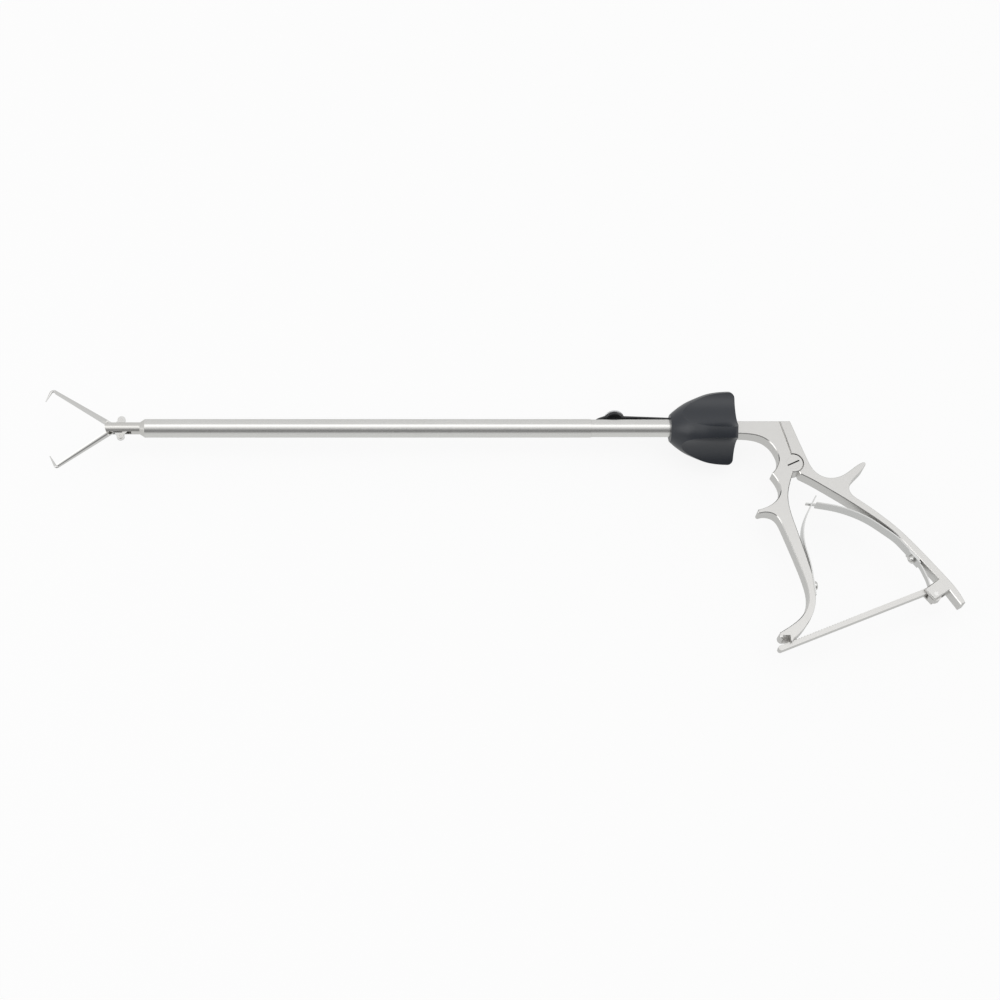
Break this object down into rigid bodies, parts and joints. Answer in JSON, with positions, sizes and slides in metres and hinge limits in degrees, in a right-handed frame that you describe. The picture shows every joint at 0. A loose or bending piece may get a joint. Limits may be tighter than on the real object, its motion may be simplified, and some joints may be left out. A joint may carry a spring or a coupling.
{
  "type": "uterine tenaculum grasper",
  "caption": "Long slender tenaculum grasper with two clawed jaws, a turning ribbed knob with a thumb release, and sprung ratchet handles.",
  "frame": {"origin": "centre of the sheath's front end, on the shaft's axis", "axes": "+X back along the shaft to the handle, +Y away from the grips, +Z square to the flat handles"},
  "size_m": [0.4824, 0.1494, 0.0364],
  "materials": {
    "polished_steel": "fine polish",
    "satin_steel": "satin",
    "sheath_steel": "fine lengthwise satin",
    "handle_steel": "bead-blasted satin",
    "spring_steel": "rolled and polished",
    "rim_chrome": "bright",
    "knob_plastic": "fine moulded texture",
    "black_plastic": "smooth satin",
    "seal_rubber": "smooth",
    "white_polymer": "smooth"
  },
  "bodies": {
    "handle": {"handle_frame": "handle_steel", "pivot_screw": "handle_steel", "front_leaf_spring": "spring_steel", "front_spring_screw": "polished_steel", "nose_seal": "seal_rubber"},
    "shaft": {"outer_tube": "sheath_steel", "jaw_clevis": "satin_steel", "jaw_pivot_pin": "satin_steel", "knob": "knob_plastic", "sheath_hub": "sheath_steel", "ring_nut": "satin_steel", "rod_seal": "seal_rubber", "rod_guides": "white_polymer", "release_pin": "satin_steel", "release_spring": "spring_steel", "thrust_washer": "white_polymer"},
    "rear_lever": {"rear_lever": "handle_steel", "rear_leaf_spring": "spring_steel", "ratchet_leaf_spring": "spring_steel", "rear_spring_screw": "polished_steel"},
    "pull_rod": {"pull_rod": "satin_steel", "rod_tongue": "satin_steel", "rod_pin": "satin_steel", "rod_ball": "satin_steel"},
    "upper_jaw": {"jaw_upper": "polished_steel", "upper_tail_pin": "satin_steel"},
    "lower_jaw": {"jaw_lower": "polished_steel", "lower_tail_pin": "satin_steel"},
    "upper_link": {"link_upper": "satin_steel"},
    "lower_link": {"link_lower": "satin_steel"},
    "bar": {"ratchet_bar": "handle_steel", "ratchet_pin": "polished_steel"},
    "release": {"release_lever": "black_plastic", "release_button": "black_plastic", "button_rim": "rim_chrome"}
  },
  "joints": [
    {"name": "shaft_spin", "type": "hinge", "parent": "handle", "child": "shaft", "pos_m": [0.31, 0, 0], "axis": [1, 0, 0], "continuous": true},
    {"name": "lever_swing", "type": "hinge", "parent": "handle", "child": "rear_lever", "pos_m": [0.3459, -0.0222, 0], "axis": [0, 0, -1], "range_deg": [0, 10.05], "stiffness_Nm_per_rad": 2, "springref_deg": -20.05, "deforming": ["front_leaf_spring", "rear_leaf_spring"]},
    {"name": "rod_slide", "type": "slide", "parent": "shaft", "child": "pull_rod", "axis": [1, 0, 0], "range_m": [0, 0.00391]},
    {"name": "upper_jaw_swing", "type": "hinge", "parent": "shaft", "child": "upper_jaw", "pos_m": [-0.0171, 0, 0], "axis": [0, 0, 1], "range_deg": [0, 29.01]},
    {"name": "lower_jaw_swing", "type": "hinge", "parent": "shaft", "child": "lower_jaw", "pos_m": [-0.0171, 0, 0], "axis": [0, 0, -1], "range_deg": [0, 29.01]},
    {"name": "upper_link_swing", "type": "hinge", "parent": "upper_jaw", "child": "upper_link", "pos_m": [-0.01282, -0.00509, 0], "axis": [0, 0, -1], "range_deg": [0, 55.31]},
    {"name": "lower_link_swing", "type": "hinge", "parent": "lower_jaw", "child": "lower_link", "pos_m": [-0.01282, 0.00509, 0], "axis": [0, 0, 1], "range_deg": [0, 55.31]},
    {"name": "bar_follow", "type": "hinge", "parent": "rear_lever", "child": "bar", "pos_m": [0.4136, -0.0963, 0], "axis": [0, 0, 1], "range_deg": [0, 5.84], "deforming": ["ratchet_leaf_spring"]},
    {"name": "release_press", "type": "hinge", "parent": "shaft", "child": "release", "pos_m": [0.2855, 0.00522, -0.00326], "axis": [0, 0.5299, 0.848], "range_deg": [0, 0.6], "stiffness_Nm_per_rad": 0.5, "springref_deg": -5.73, "deforming": ["release_spring"]}
  ],
  "couplings": [
    {"joint": "rod_slide", "follows": "lever_swing", "m_per_rad": 0.022291},
    {"joint": "upper_jaw_swing", "follows": "lever_swing", "ratio": 2.8856},
    {"joint": "lower_jaw_swing", "follows": "lever_swing", "ratio": 2.8856},
    {"joint": "upper_link_swing", "follows": "lever_swing", "ratio": 5.5025},
    {"joint": "lower_link_swing", "follows": "lever_swing", "ratio": 5.5025},
    {"joint": "bar_follow", "follows": "lever_swing", "ratio": 0.58}
  ]
}
